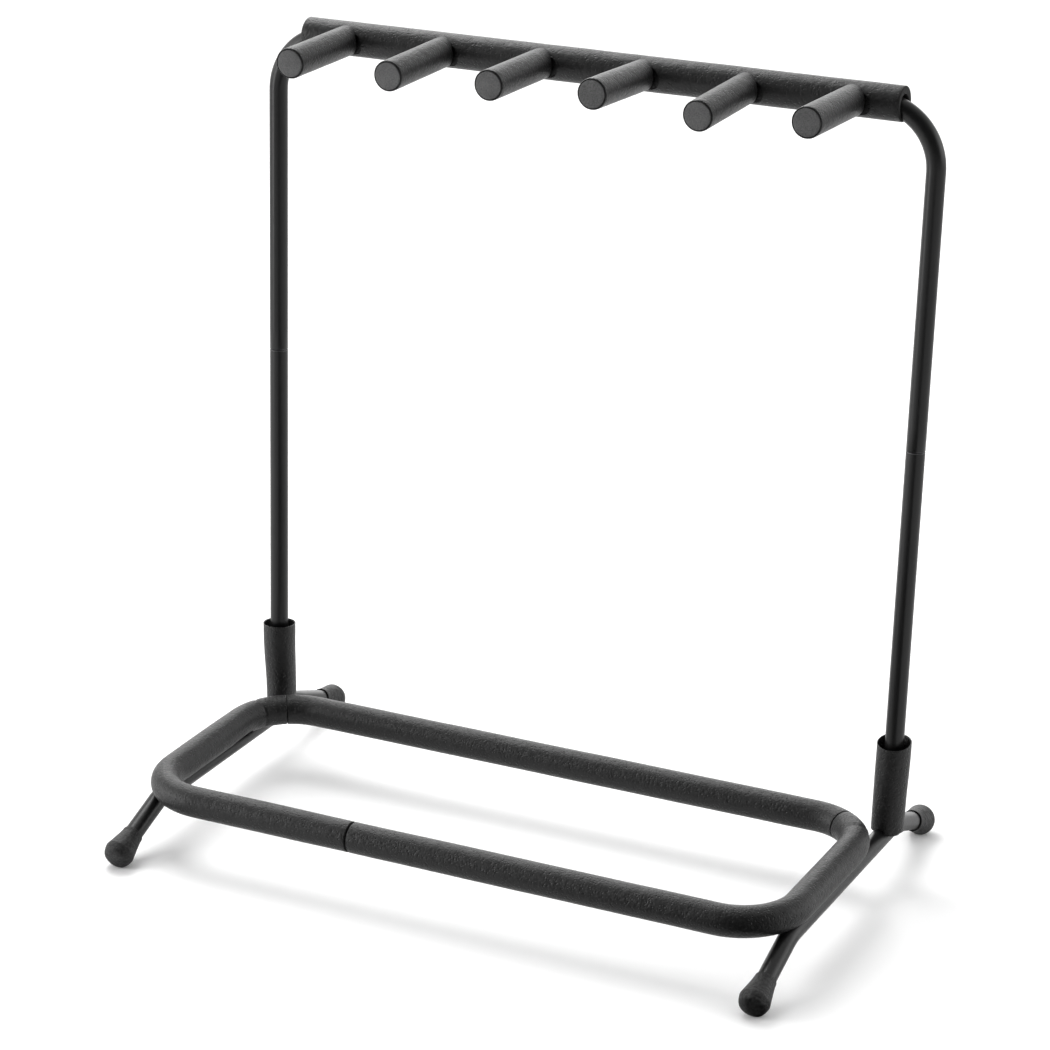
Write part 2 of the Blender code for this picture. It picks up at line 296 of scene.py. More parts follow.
def roughen(piece, name, spread, height):
    """Lets the skin rise and fall softly, as foam does."""
    clouds = bpy.data.textures.new(name, "CLOUDS")
    clouds.noise_scale = spread
    clouds.noise_depth = 1
    modifier = piece.modifiers.new("uneven", "DISPLACE")
    modifier.texture = clouds
    modifier.texture_coords = "LOCAL"
    modifier.strength = height
    modifier.mid_level = 0.5
    apply(piece, modifier)


def take_away(piece, cutter):
    """Cuts the cutter's shape out of the piece and removes the cutter."""
    modifier = piece.modifiers.new("cut", "BOOLEAN")
    modifier.operation = "DIFFERENCE"
    modifier.solver = "EXACT"
    modifier.object = cutter
    apply(piece, modifier)
    bpy.data.objects.remove(cutter, do_unlink=True)


def bar(name, start, end, radius, sides=48):
    """A closed round bar, used as a cutter."""
    piece = start_ring(name, start, end - start, radius, sides)
    draw_out(end - start)
    close_ends()
    face_outwards()
    return piece


def hold(piece, *finishes):
    """Makes the piece hold these finishes, and no others, in this order."""
    held = list(piece.data.polygons)
    marks = [face.material_index for face in held]
    piece.data.materials.clear()
    for name in finishes:
        piece.data.materials.append(bpy.data.materials[name])
    for face, mark in zip(held, marks):
        face.material_index = min(mark, len(finishes) - 1)


def finish(piece, body, node, slot, *finishes, smooth=40.0):
    """Gives the piece its finishes and its place in the frame."""
    pick_up(piece)
    hold(piece, *finishes)
    bpy.ops.object.shade_smooth_by_angle(angle=math.radians(smooth))
    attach(piece, body)
    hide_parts(node)
    piece.select_set(False)


# ---------------- where things are

def post_point(side, height):
    """The point of a post's axis at this height."""
    rise = height - LEG_Z
    return Vector((side * (POST_X + SPLAY * rise), POST_Y + LEAN * rise, height))


def post_axis(side):
    return (post_point(side, 1.0) - post_point(side, 0.0)).normalized()


def rail_centre():
    return Vector((0.0, POST_Y + LEAN * (RAIL_Z - LEG_Z), RAIL_Z))


def leg_corners(side):
    """Ends and bends of a leg tube, from front to back."""
    run = LEG_END * math.cos(LEG_DROP)
    drop = LEG_END * math.sin(LEG_DROP)
    x = side * LEG_X
    return [
        Vector((x, -LEG_HALF - run, LEG_Z - drop)),
        Vector((x, -LEG_HALF, LEG_Z)),
        Vector((x, LEG_HALF, LEG_Z)),
        Vector((x, LEG_HALF + run, LEG_Z - drop)),
    ]


def frame_corners(foot):
    """Ends and bends of the upper frame, which ends at this height."""
    heights = ((-1, foot), (-1, RAIL_Z), (1, RAIL_Z), (1, foot))
    return [post_point(side, height) for side, height in heights]


def leg_space(side):
    """A cutter that leaves room for a leg tube under its post."""
    _, front, rear, _ = leg_corners(side)
    past = Vector((0.0, 0.05, 0.0))
    return bar("leg_space", front, rear + past, sizes().tube_radius + CLEARANCE)


def peg_direction(index):
    tilt = math.radians(PEG_TILTS[index])
    return Vector((0.0, -math.cos(tilt), math.sin(tilt)))


def peg_root(index):
    """The point where a peg's axis meets that of the rail."""
    middle = (len(PEG_TILTS) - 1) / 2
    return rail_centre() + Vector(((index - middle) * PEG_PITCH, 0.0, 0.0))


def draw_route(corners, radius, run_step, turn_steps):
    """Draws the selected ring along straight runs, with an arc at each inner corner."""
    here = corners[0]
    for before, corner, after in zip(corners, corners[1:], corners[2:]):
        back = (before - corner).normalized()
        on = (after - corner).normalized()
        inner = back.angle(on)
        start = corner + back * (radius / math.tan(inner / 2))
        centre = corner + (back + on).normalized() * (radius / math.sin(inner / 2))
        axis = back.cross(start - centre).normalized()
        draw_out(start - here, max(1, round((start - here).length / run_step)))
        swing(centre, axis, math.pi - inner, turn_steps)
        here = centre + Quaternion(axis, math.pi - inner) @ (start - centre)
    draw_out(corners[-1] - here, max(1, round((corners[-1] - here).length / run_step)))


def solid_route(name, corners, bend_radius, radius, turn_steps=12):
    """A closed bar along a route, used as a cutter."""
    piece = start_ring(name, corners[0], corners[1] - corners[0], radius, 48)
    draw_route(corners, bend_radius, 0.03, turn_steps)
    close_ends()
    face_outwards()
    return piece


# ---------------- the ring's way round

def ring_parts():
    """The ring as runs and quarter turns, anticlockwise from the right end of its front bar."""
    x = RING_X - RING_CORNER_R
    front = RING_FRONT_Y + RING_CORNER_R
    back = RING_BACK_Y - RING_CORNER_R
    corners = ((x, front), (x, back), (-x, back), (-x, front))
    parts = []
    for quarter, (cx, cy) in enumerate(corners):
        centre = Vector((cx, cy, RING_Z))
        turn = math.radians(90 * quarter)
        parts.append(("turn", RING_ARC, centre, turn))
        heading = Vector((-math.sin(turn), math.cos(turn), 0.0))
        length = (back - front) if quarter % 2 == 0 else 2 * x
        begin = centre + Vector((math.cos(turn), math.sin(turn), 0.0)) * RING_CORNER_R
        parts.append(("run", length, begin, heading))
    return parts


def ring_place(distance):
    """(part, distance into it) at a distance along the ring."""
    parts = ring_parts()
    distance %= sum(part[1] for part in parts)
    for part in parts:
        if distance < part[1]:
            return part, distance
        distance -= part[1]
    return parts[-1], parts[-1][1]


def ring_point(distance):
    """Centre line point and heading at a distance along the ring."""
    (kind, _, origin, what), into = ring_place(distance)
    if kind == "run":
        return origin + what * into, what
    angle = what - math.pi / 2 + into / RING_CORNER_R
    out = Vector((math.cos(angle), math.sin(angle), 0.0))
    return origin + out * RING_CORNER_R, Vector((-out.y, out.x, 0.0))


def ring_marks():
    """Distances along the ring of its part ends, over two laps."""
    marks = [0.0]
    for part in ring_parts() * 2:
        marks.append(marks[-1] + part[1])
    return marks


def ring_seams():
    """Distances along the ring of its rear right, rear left and front seams."""
    marks = ring_marks()
    share = CORNER_SEAM / math.radians(90)
    rear_right = marks[2] + RING_ARC * (1.0 - share)
    rear_left = marks[4] + RING_ARC * share
    front = marks[7] + (RING_X - RING_CORNER_R) + FRONT_SEAM_X
    return rear_right, rear_left, front


def draw_ring_foam(stations):
    """Draws the selected ring round the floor ring through (distance, scale) stations."""
    for (here, scale), (there, next_scale) in zip(stations, stations[1:]):
        (kind, _, origin, _), _ = ring_place((here + there) / 2)
        point, _ = ring_point(here)
        goal, _ = ring_point(there)
        if kind == "run":
            draw_out(goal - point)
        else:
            swing(origin, (0, 0, 1), (there - here) / RING_CORNER_R)
        if next_scale != scale:
            size_ring(next_scale / scale, goal)


def foam_stations(start, end, spacing, creases):
    """Even stations from start to end, with a pinch at each (distance, depth, half width)."""
    marks = {start: 1.0, end: 1.0}
    for mark in ring_marks():
        if start < mark < end:
            marks[mark] = 1.0
    for place, depth, width in creases:
        for offset, share in ((-1.0, 0.0), (-0.5, 0.35), (0.0, 1.0), (0.5, 0.35), (1.0, 0.0)):
            marks[place + width * offset] = 1.0 - depth * share
    fixed = sorted(marks)
    for low, high in zip(fixed, fixed[1:]):
        count = max(1, round((high - low) / spacing))
        for step in range(1, count):
            marks[low + (high - low) * step / count] = None
    ordered = sorted(marks.items())
    return [(place, 1.0 if scale is None else scale) for place, scale in ordered]


# ---------------- finishes

DUST_COLOUR = (0.30, 0.30, 0.29)
# Colours of rubbed coat and bare steel, which also paint the highlight round the joints
THIN_COAT_HIGHLIGHT = (0.07, 0.07, 0.072)
BARE_STEEL_HIGHLIGHT = (0.17, 0.17, 0.175)


def new_group(name, inputs, outputs):
    """A shader node group with value inputs, each with its default, and value outputs."""
    group = bpy.data.node_groups.new(name, "ShaderNodeTree")
    kind = "NodeSocketFloat"
    for label, value in inputs.items():
        socket = group.interface.new_socket(label, in_out="INPUT", socket_type=kind)
        socket.default_value = value
    for label in outputs:
        group.interface.new_socket(label, in_out="OUTPUT", socket_type=kind)
    return group, group.nodes.new("NodeGroupInput"), group.nodes.new("NodeGroupOutput")


def add_node(tree, kind, **settings):
    node = tree.nodes.new(kind)
    for key, value in settings.items():
        setattr(node, key, value)
    return node


def feed(tree, socket, value):
    """Gives a socket a plain number, or links an output to it."""
    if isinstance(value, (int, float)):
        socket.default_value = value
    else:
        tree.links.new(value, socket)


def object_place(tree):
    return tree.nodes.new("ShaderNodeTexCoord").outputs["Object"]


def noise(tree, place, scale, detail=2.0, roughness=0.5):
    node = tree.nodes.new("ShaderNodeTexNoise")
    tree.links.new(place, node.inputs["Vector"])
    feed(tree, node.inputs["Scale"], scale)
    node.inputs["Detail"].default_value = detail
    node.inputs["Roughness"].default_value = roughness
    return node.outputs["Fac"]


def math_node(tree, operation, first, second):
    node = add_node(tree, "ShaderNodeMath", operation=operation)
    feed(tree, node.inputs[0], first)
    feed(tree, node.inputs[1], second)
    return node.outputs[0]


def times(tree, first, second):
    return math_node(tree, "MULTIPLY", first, second)


def spread_out(tree, value, low, high, to_low=0.0, to_high=1.0):
    """Maps low..high to to_low..to_high and holds the ends."""
    node = tree.nodes.new("ShaderNodeMapRange")
    labels = ("Value", "From Min", "From Max", "To Min", "To Max")
    for label, number in zip(labels, (value, low, high, to_low, to_high)):
        feed(tree, node.inputs[label], number)
    return node.outputs["Result"]


def blend(tree, kind, share, first, second):
    """Mixes the first value with the second by this share."""
    node = add_node(tree, "ShaderNodeMix", data_type=kind)
    tree.links.new(share, node.inputs["Factor"])
    for label, value in (("A", first), ("B", second)):
        if isinstance(value, tuple):
            node.inputs[label].default_value = (*value, 1.0)
        else:
            feed(tree, node.inputs[label], value)
    return node.outputs["Result"]


def cell_grain_group():
    """Fine cells and pores under a thin skin: Height, and a Shade that gives the cells their tone
    and paints shade into the pores.
    """
    inputs = {"Cell Scale": 900.0, "Pore Amount": 0.4}
    group, given, out = new_group("cell grain", inputs, ("Height", "Shade"))
    place = object_place(group)
    scale = given.outputs["Cell Scale"]
    cells = noise(group, place, scale, 3.0, 0.62)
    coarse = noise(group, place, times(group, scale, 0.33), 2.0)
    pores = group.nodes.new("ShaderNodeTexVoronoi")
    group.links.new(place, pores.inputs["Vector"])
    group.links.new(times(group, scale, 0.8), pores.inputs["Scale"])
    pit = spread_out(group, pores.outputs["Distance"], 0.0, 0.35)
    sunk = times(group, math_node(group, "SUBTRACT", 1.0, pit), given.outputs["Pore Amount"])
    mixed = math_node(group, "ADD", times(group, cells, 0.65), times(group, coarse, 0.6))
    group.links.new(math_node(group, "SUBTRACT", mixed, sunk), out.inputs["Height"])
    light = spread_out(group, cells, 0.3, 0.7, 0.55, 1.45)
    # Painted shade: the pores are darkened in the colour as well as sunk
    shade = math_node(group, "SUBTRACT", light, times(group, sunk, 0.5))
    group.links.new(shade, out.inputs["Shade"])
    return group


def tone_group():
    """Broad, faint change of tone, and Dust that lies on what faces up."""
    inputs = {"Patch Scale": 18.0, "Change": 0.15, "Dust": 0.1}
    group, given, out = new_group("tone and dust", inputs, ("Tone", "Dust"))
    place = object_place(group)
    patch = noise(group, place, given.outputs["Patch Scale"], 3.0, 0.55)
    low = math_node(group, "SUBTRACT", 1.0, given.outputs["Change"])
    high = math_node(group, "ADD", 1.0, given.outputs["Change"])
    group.links.new(spread_out(group, patch, 0.3, 0.7, low, high), out.inputs["Tone"])
    split = group.nodes.new("ShaderNodeSeparateXYZ")
    group.links.new(group.nodes.new("ShaderNodeNewGeometry").outputs["Normal"], split.inputs[0])
    up = spread_out(group, split.outputs["Z"], 0.2, 1.0)
    specks = spread_out(group, noise(group, place, 260.0, 4.0, 0.7), 0.45, 0.75)
    lying = times(group, up, specks)
    group.links.new(times(group, lying, given.outputs["Dust"]), out.inputs["Dust"])
    return group


def coat_group():
    """Powder coat: a soft orange peel with fine grit, and scuffs that dull it."""
    inputs = {"Peel Scale": 420.0, "Scuffs": 0.15}
    group, given, out = new_group("powder coat", inputs, ("Height", "Scuff"))
    place = object_place(group)
    peel = noise(group, place, given.outputs["Peel Scale"], 1.0)
    grit = noise(group, place, times(group, given.outputs["Peel Scale"], 6.0), 2.0)
    height = math_node(group, "ADD", peel, times(group, grit, 0.35))
    group.links.new(height, out.inputs["Height"])
    stretch = group.nodes.new("ShaderNodeMapping")
    stretch.inputs["Scale"].default_value = (1.0, 1.0, 0.25)
    group.links.new(place, stretch.inputs["Vector"])
    marks = spread_out(group, noise(group, stretch.outputs[0], 160.0, 5.0, 0.75), 0.56, 0.72)
    group.links.new(times(group, marks, given.outputs["Scuffs"]), out.inputs["Scuff"])
    return group


def group_node(tree, group, **values):
    node = tree.nodes.new("ShaderNodeGroup")
    node.node_tree = group
    for label, value in values.items():
        node.inputs[label.replace("_", " ")].default_value = value
    return node


def new_finish(name, color, roughness, metallic=0.0, specular=0.5):
    """A material whose shader has its plain values; returns it with its tree and shader."""
    material = bpy.data.materials.new(name)
    material.use_nodes = True
    tree = material.node_tree
    shader = tree.nodes["Principled BSDF"]
    shader.inputs["Base Color"].default_value = (*color, 1.0)
    shader.inputs["Roughness"].default_value = roughness
    shader.inputs["Metallic"].default_value = metallic
    shader.inputs["Specular IOR Level"].default_value = specular
    material.diffuse_color = (*color, 1.0)
    return material, tree, shader


def colour_times(tree, color, *factors):
    """The colour with each factor multiplied in."""
    value = tree.nodes.new("ShaderNodeRGB")
    value.outputs[0].default_value = (*color, 1.0)
    link = value.outputs[0]
    for factor in factors:
        node = add_node(tree, "ShaderNodeVectorMath", operation="SCALE")
        tree.links.new(link, node.inputs[0])
        tree.links.new(factor, node.inputs["Scale"])
        link = node.outputs[0]
    return link


def dusted(tree, color, dust):
    return blend(tree, "RGBA", dust, color, DUST_COLOUR)


def raise_surface(tree, shader, height, distance, strength=1.0):
    bump = tree.nodes.new("ShaderNodeBump")
    bump.inputs["Strength"].default_value = strength
    bump.inputs["Distance"].default_value = distance
    tree.links.new(height, bump.inputs["Height"])
    tree.links.new(bump.outputs["Normal"], shader.inputs["Normal"])


def foam_finish(name, color, roughness, grain, tone, cell_scale, pores, relief, dust):
    """Closed-cell foam: a dull skin with fine cells, pores and a faint sheen."""
    _, tree, shader = new_finish(name, color, roughness, specular=0.5)
    shader.inputs["Sheen Weight"].default_value = 0.05
    shader.inputs["Sheen Roughness"].default_value = 0.35
    cells = group_node(tree, grain, Cell_Scale=cell_scale, Pore_Amount=pores)
    broad = group_node(tree, tone, Patch_Scale=16.0, Change=0.12, Dust=dust)
    base = colour_times(tree, color, cells.outputs["Shade"], broad.outputs["Tone"])
    tree.links.new(dusted(tree, base, broad.outputs["Dust"]), shader.inputs["Base Color"])
    spread = spread_out(tree, cells.outputs["Height"], 0.3, 0.9, roughness - 0.06, roughness + 0.08)
    tree.links.new(spread, shader.inputs["Roughness"])
    raise_surface(tree, shader, cells.outputs["Height"], relief)


def coat_finish(name, color, roughness, coat, tone):
    """Powder coat on steel."""
    _, tree, shader = new_finish(name, color, roughness, specular=0.42)
    peel = group_node(tree, coat, Peel_Scale=420.0, Scuffs=0.10)
    broad = group_node(tree, tone, Patch_Scale=9.0, Change=0.10, Dust=0.03)
    base = colour_times(tree, color, broad.outputs["Tone"])
    tree.links.new(dusted(tree, base, broad.outputs["Dust"]), shader.inputs["Base Color"])
    rough = math_node(tree, "ADD", roughness, peel.outputs["Scuff"])
    tree.links.new(rough, shader.inputs["Roughness"])
    raise_surface(tree, shader, peel.outputs["Height"], 0.00006)


def worn_edge_and_highlight_finish(coat):
    """Coat rubbed thin at the cut ends of the tubes, with steel showing through; its lighter colour
    also paints the highlight round the joints.
    """
    _, tree, shader = new_finish("worn_edge_and_highlight", (0.10, 0.10, 0.103), 0.45, metallic=0.6)
    marks = group_node(tree, coat, Peel_Scale=900.0, Scuffs=1.0)
    thin = spread_out(tree, noise(tree, object_place(tree), 1100.0, 4.0, 0.7), 0.3, 0.7)
    wear_and_highlight = blend(tree, "RGBA", thin, THIN_COAT_HIGHLIGHT, BARE_STEEL_HIGHLIGHT)
    tree.links.new(wear_and_highlight, shader.inputs["Base Color"])
    raise_surface(tree, shader, marks.outputs["Height"], 0.00005)


def moulded_finish(name, color, roughness, grain, tone, cell_scale, mottle, relief, dust):
    """Moulded rubber or plastic with a fine, even texture."""
    _, tree, shader = new_finish(name, color, roughness, specular=0.45)
    cells = group_node(tree, grain, Cell_Scale=cell_scale, Pore_Amount=0.1)
    broad = group_node(tree, tone, Patch_Scale=60.0, Change=0.18, Dust=dust)
    shade = spread_out(tree, cells.outputs["Shade"], 0.6, 1.35, 1.0 - mottle, 1.0 + mottle)
    base = colour_times(tree, color, shade, broad.outputs["Tone"])
    tree.links.new(dusted(tree, base, broad.outputs["Dust"]), shader.inputs["Base Color"])
    spread = spread_out(tree, cells.outputs["Height"], 0.3, 0.9, roughness - 0.05, roughness + 0.08)
    tree.links.new(spread, shader.inputs["Roughness"])
    raise_surface(tree, shader, cells.outputs["Height"], relief)


class RACK_OT_finishes(bpy.types.Operator):
    """Make the foam, powder coat, rubber and plastic finishes"""

    bl_idname = "rack.finishes"
    bl_label = "Finishes"

    def execute(self, context):
        shades = colours()
        grain, tone, coat = cell_grain_group(), tone_group(), coat_group()
        foam_finish(
            "foam_skin", shades.foam, shades.foam_roughness, grain, tone,
            cell_scale=480.0, pores=0.5, relief=0.0008, dust=0.04)
        # A darker copy of the foam skin: painted shade on the socket sleeves
        foam_finish(
            "shaded_sleeve_foam", (0.0035, 0.0035, 0.0035), 0.46, grain, tone,
            cell_scale=480.0, pores=0.5, relief=0.0009, dust=0.02)
        foam_finish(
            "foam_cut", (0.010, 0.010, 0.010), 0.85, grain, tone,
            cell_scale=900.0, pores=0.9, relief=0.00035, dust=0.0)
        coat_finish("coated_steel", shades.coat, shades.coat_roughness, coat, tone)
        coat_finish("shaded_steel", (0.003, 0.003, 0.003), 0.85, coat, tone)
        worn_edge_and_highlight_finish(coat)
        moulded_finish(
            "boot_rubber", shades.rubber, 0.50, grain, tone,
            cell_scale=430.0, mottle=0.95, relief=0.0013, dust=0.06)
        moulded_finish(
            "cap_plastic", shades.plastic, 0.60, grain, tone,
            cell_scale=900.0, mottle=0.30, relief=0.0007, dust=0.0)
        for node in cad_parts.values():
            node.data.materials.clear()
            node.data.materials.append(bpy.data.materials["shaded_steel"])
        return {"FINISHED"}


# ---------------- base

class RACK_OT_leg_tubes(bpy.types.Operator):
    """Bend the two leg tubes"""

    bl_idname = "rack.leg_tubes"
    bl_label = "Leg tubes"

    def execute(self, context):
        for word, side in SIDES:
            name = "leg_tube_" + word
            corners = leg_corners(side)
            heading = corners[1] - corners[0]
            piece = start_ring(name + "_fine", corners[0], heading, sizes().tube_radius)
            draw_route(corners, LEG_BEND_R, TUBE_STEP, 10)
            face_outwards()
            give_wall(piece, sizes().tube_wall)
            round_edges(piece, TUBE_EDGE)
            finish(piece, "base", name, "black_steel", "coated_steel")
        return {"FINISHED"}


class RACK_OT_boots(bpy.types.Operator):
    """Mould the four rubber boots"""

    bl_idname = "rack.boots"
    bl_label = "Boots"

    # (radius, height) from inside the mouth, over the waist and the rim, to the rounded tip
    profile = (
        (0.0060, 0.0280), (0.00815, 0.0280), (0.00835, 0.0276), (0.00835, 0.0062), (0.0085, 0.0047),
        (0.0087, 0.0040), (0.0089, 0.0038), (0.0091, 0.0040), (0.0092, 0.0048), (0.0092, 0.0060),
        (0.0095, 0.0085), (0.0103, 0.0130), (0.0112, 0.0175), (0.0121, 0.0220), (0.0128, 0.0254),
        (0.0130, 0.0264), (0.01305, 0.0269), (0.0130, 0.0274), (0.0127, 0.0288), (0.0122, 0.0305),
        (0.0121, 0.0309), (0.0119, 0.0310), (0.0118, 0.0314), (0.0116, 0.0324), (0.0108, 0.0338),
        (0.0094, 0.0349), (0.0076, 0.0356), (0.0052, 0.0361), (0.0024, 0.0364),
    )

    def execute(self, context):
        for word, side in SIDES:
            for place, end in (("front", -1), ("rear", 1)):
                name = f"boot_{place}_{word}"
                direction = Vector((0.0, end * math.cos(LEG_DROP), -math.sin(LEG_DROP)))
                mouth = Vector((side * LEG_X, end * LEG_HALF, LEG_Z)) + direction * BOOT_MOUTH
                piece = turn_up(name + "_fine", mouth, direction, self.profile, 64)
                close_ends()
                self.flatten()
                face_outwards()
                finish(piece, "base", name, "black_rubber", "boot_rubber", smooth=30.0)
        return {"FINISHED"}

    @staticmethod
    def flatten():
        """Cuts off what would stand below the floor."""
        bpy.ops.mesh.select_all(action="SELECT")
        bpy.ops.mesh.bisect(
            plane_co=(0, 0, 0), plane_no=(0, 0, 1), use_fill=True, clear_inner=True)


class RACK_OT_sockets(bpy.types.Operator):
    """Make the post sockets and the foam sleeves round them"""

    bl_idname = "rack.sockets"
    bl_label = "Sockets and sleeves"

    steps = 16
    # For each sleeve: width of the foot as a share of the mouth's, push of the foot towards
    # the middle, what the sleeve is short of its full length, and lift of the mouth's rear
    shapes = {"left": (0.91, 0.0024, 0.0020, 0.0), "right": (0.955, 0.0008, 0.0004, 0.0030)}

    def make_socket(self, word, side):
        name = "post_socket_" + word
        low, high = SOCKET_SPAN
        start, axis = post_point(side, low), post_axis(side)
        length = (post_point(side, high) - start).length
        profile = (
            (0.00995, 0.0), (0.00995, length - 0.0005), (0.00965, length),
            (0.0092, length), (0.00892, length - 0.0004), (0.00892, 0.0),
        )
        piece = turn_up(name + "_fine", start, axis, profile)
        close_loop()
        face_outwards()
        take_away(piece, leg_space(side))
        finish(piece, "base", name, "black_steel", "coated_steel")

    def make_sleeve(self, word, side):
        """The sleeve stands a little loose, narrows to its foot and is pushed inwards there."""
        name = "socket_sleeve_" + word
        low, high = SLEEVE_SPAN
        slim, push, short, lift = self.shapes[word]
        start, axis = post_point(side, low), post_axis(side)
        length = (post_point(side, high) - start).length - short
        radius = sizes().sleeve_radius
        top = start + axis * length
        inwards = Vector((-side, 0, 0))

        skin = []
        for step in range(self.steps + 1):
            share = step / self.steps
            ease = share * share * (3 - 2 * share)
            width = radius * (slim + (1.0 - slim) * ease)
            skin.append((width, start + axis * (length * share) + inwards * (push * (1 - ease))))
        bore = [
            (radius - 0.0004, top), (radius - 0.0009, top - axis * 0.0004),
            (radius - 0.0012, top - axis * 0.010), (0.0106, top - axis * 0.024),
            (SLEEVE_BORE, start + axis * 0.001 + inwards * (push / 2)),
        ]
        piece = start_ring(name + "_fine", skin[0][1], axis, skin[0][0])
        draw_through([*skin, *bore])
        close_loop()
        face_outwards()
        self.tilt_mouth(piece, top, axis, lift / radius)
        take_away(piece, leg_space(side))
        roughen(piece, name, spread=0.03, height=sizes().unevenness)
        # The sleeve takes the darker copy of the foam, which paints shade on it
        finish(piece, "base", name, "black_foam", "shaded_sleeve_foam")

    @staticmethod
    def tilt_mouth(piece, top, axis, slope):
        """Raises the rear of the mouth, and less and less of it over the next two centimetres."""
        for point in piece.data.vertices:
            share = max(0.0, 1.0 - (top - point.co).dot(axis) / 0.02)
            point.co.z += slope * share * (point.co.y - top.y)

    def execute(self, context):
        for word, side in SIDES:
            self.make_socket(word, side)
            self.make_sleeve(word, side)
        return {"FINISHED"}


class RACK_OT_ring_foam(bpy.types.Operator):
    """Fit the three lengths of foam round the floor ring"""

    bl_idname = "rack.ring_foam"
    bl_label = "Ring foam"

    spacing = 0.005
    # Place on the corner's turn, depth as a share of the radius, and half width
    left_crease = (0.70, 0.075, 0.003)
    right_crease = (0.30, 0.045, 0.004)

    def execute(self, context):
        rear_right, rear_left, front = ring_seams()
        marks = ring_marks()
        lap = sum(part[1] for part in ring_parts())
        left = self.crease(marks[4], self.left_crease)
        right = self.crease(marks[2] + lap, self.right_crease)
        self.make("ring_foam_rear", rear_right, rear_left, ())
        self.make("ring_foam_left", rear_left, front, (left,))
        self.make("ring_foam_right", front, rear_right + lap, (right,))
        return {"FINISHED"}

    @staticmethod
    def crease(corner, shape):
        """(distance along the ring, depth, half width) of a crease in this corner."""
        share, depth, width = shape
        return corner + share * RING_ARC, depth, width

    def make(self, name, start, end, creases):
        corner, front = sizes().corner_seam_gap / 2, sizes().front_seam_gap / 2
        low = start + (front if name == "ring_foam_right" else corner)
        high = end - (front if name == "ring_foam_left" else corner)
        stations = foam_stations(low, high, self.spacing, creases)
        point, heading = ring_point(stations[0][0])
        piece = start_ring(name + "_fine", point, heading, sizes().ring_foam_radius)
        draw_ring_foam(stations)
        face_outwards()
        hold(piece, "foam_skin", "foam_cut")
        give_wall(piece, RING_FOAM_WALL)
        round_edges(piece, FOAM_EDGE, 3)
        for _, side in SIDES:
            radius = sizes().tube_radius + CLEARANCE
            take_away(piece, solid_route("leg_space", leg_corners(side), LEG_BEND_R, radius))
        if name == "ring_foam_left":
            take_away(piece, self.gap_cutter())
        roughen(piece, name, spread=0.06, height=sizes().unevenness)
        finish(piece, "base", name, "black_foam", "foam_skin", "foam_cut")

    @staticmethod
    def gap_cutter():
        """The slim hollow where this foam stands off the left leg tube, half way along it."""
        put_all_down()
        place = Vector((-LEG_X + 0.0098, 0.006, LEG_Z + 0.0082))
        bpy.ops.mesh.primitive_uv_sphere_add(
            segments=32, ring_count=16, radius=1.0, location=place)
        cutter = bpy.context.object
        cutter.scale = (0.0045, 0.0170, 0.0026)
        bpy.ops.object.transform_apply(location=True, rotation=True, scale=True)
        return cutter


# ---------------- uprights

class RACK_OT_lower_posts(bpy.types.Operator):
    """Turn the lower posts with their drawn-in spigots"""

    bl_idname = "rack.lower_posts"
    bl_label = "Lower posts"

    body_runs = 12

    def execute(self, context):
        for word, side in SIDES:
            name = "lower_post_" + word
            start, axis = post_point(side, POST_FOOT_Z), post_axis(side)
            shoulder = (post_point(side, JOINT_Z) - start).length
            piece = turn_up(name + "_fine", start, axis, self.profile(shoulder))
            close_loop()
            face_outwards()
            hold(piece, "coated_steel", "worn_edge_and_highlight")
            # Above the shoulder the bare steel colour also paints the highlight round the joint
            bare_and_highlit_from = post_point(side, JOINT_Z - 0.0005).dot(axis)
            for face in piece.data.polygons:
                face.material_index = int(face.center.dot(axis) > bare_and_highlit_from)
            finish(piece, name, name, "black_steel", "coated_steel", "worn_edge_and_highlight")
        return {"FINISHED"}

    def profile(self, shoulder):
        """(radius, height) up the outside to the spigot's tip, and down the bore."""
        radius = sizes().tube_radius
        bore = radius - sizes().tube_wall
        tip = shoulder + SPIGOT_LENGTH
        runs = self.body_runs
        body = [(radius, 0.0004 + (shoulder - 0.0010) * run / runs) for run in range(runs + 1)]
        return [
            (radius - 0.0004, 0.0), *body, (radius, shoulder - 0.0004),
            (radius - 0.0001, shoulder - 0.0002), (radius - 0.0004, shoulder),
            (SPIGOT_RADIUS + 0.0002, shoulder + 0.0001), (SPIGOT_RADIUS, shoulder + 0.0012),
            (SPIGOT_RADIUS, tip - 0.0015), (SPIGOT_RADIUS - 0.0008, tip), (SPIGOT_BORE, tip),
            (SPIGOT_BORE, shoulder - 0.004), (bore, shoulder - 0.007), (bore, 0.0),
        ]


class RACK_OT_upper_frame(bpy.types.Operator):
    """Bend the upper frame from one tube"""

    bl_idname = "rack.upper_frame"
    bl_label = "Upper frame"

    def execute(self, context):
        foot = JOINT_Z + FRAME_LIFT
        corners = frame_corners(foot)
        heading = corners[1] - corners[0]
        piece = start_ring("upper_frame_fine", corners[0], heading, sizes().tube_radius)
        draw_route(corners, FRAME_BEND_R, TUBE_STEP, 24)
        face_outwards()
        hold(piece, "coated_steel", "worn_edge_and_highlight")
        give_wall(piece, sizes().tube_wall)
        round_edges(piece, FOOT_EDGE)
        # The foot of the frame takes the worn edge colour, which also paints the joint's highlight
        for face in piece.data.polygons:
            face.material_index = int(face.center[2] < foot + 0.0007)
        finish(piece, "upper_frame", "upper_frame", "black_steel", "coated_steel", "worn_edge_and_highlight")
        return {"FINISHED"}


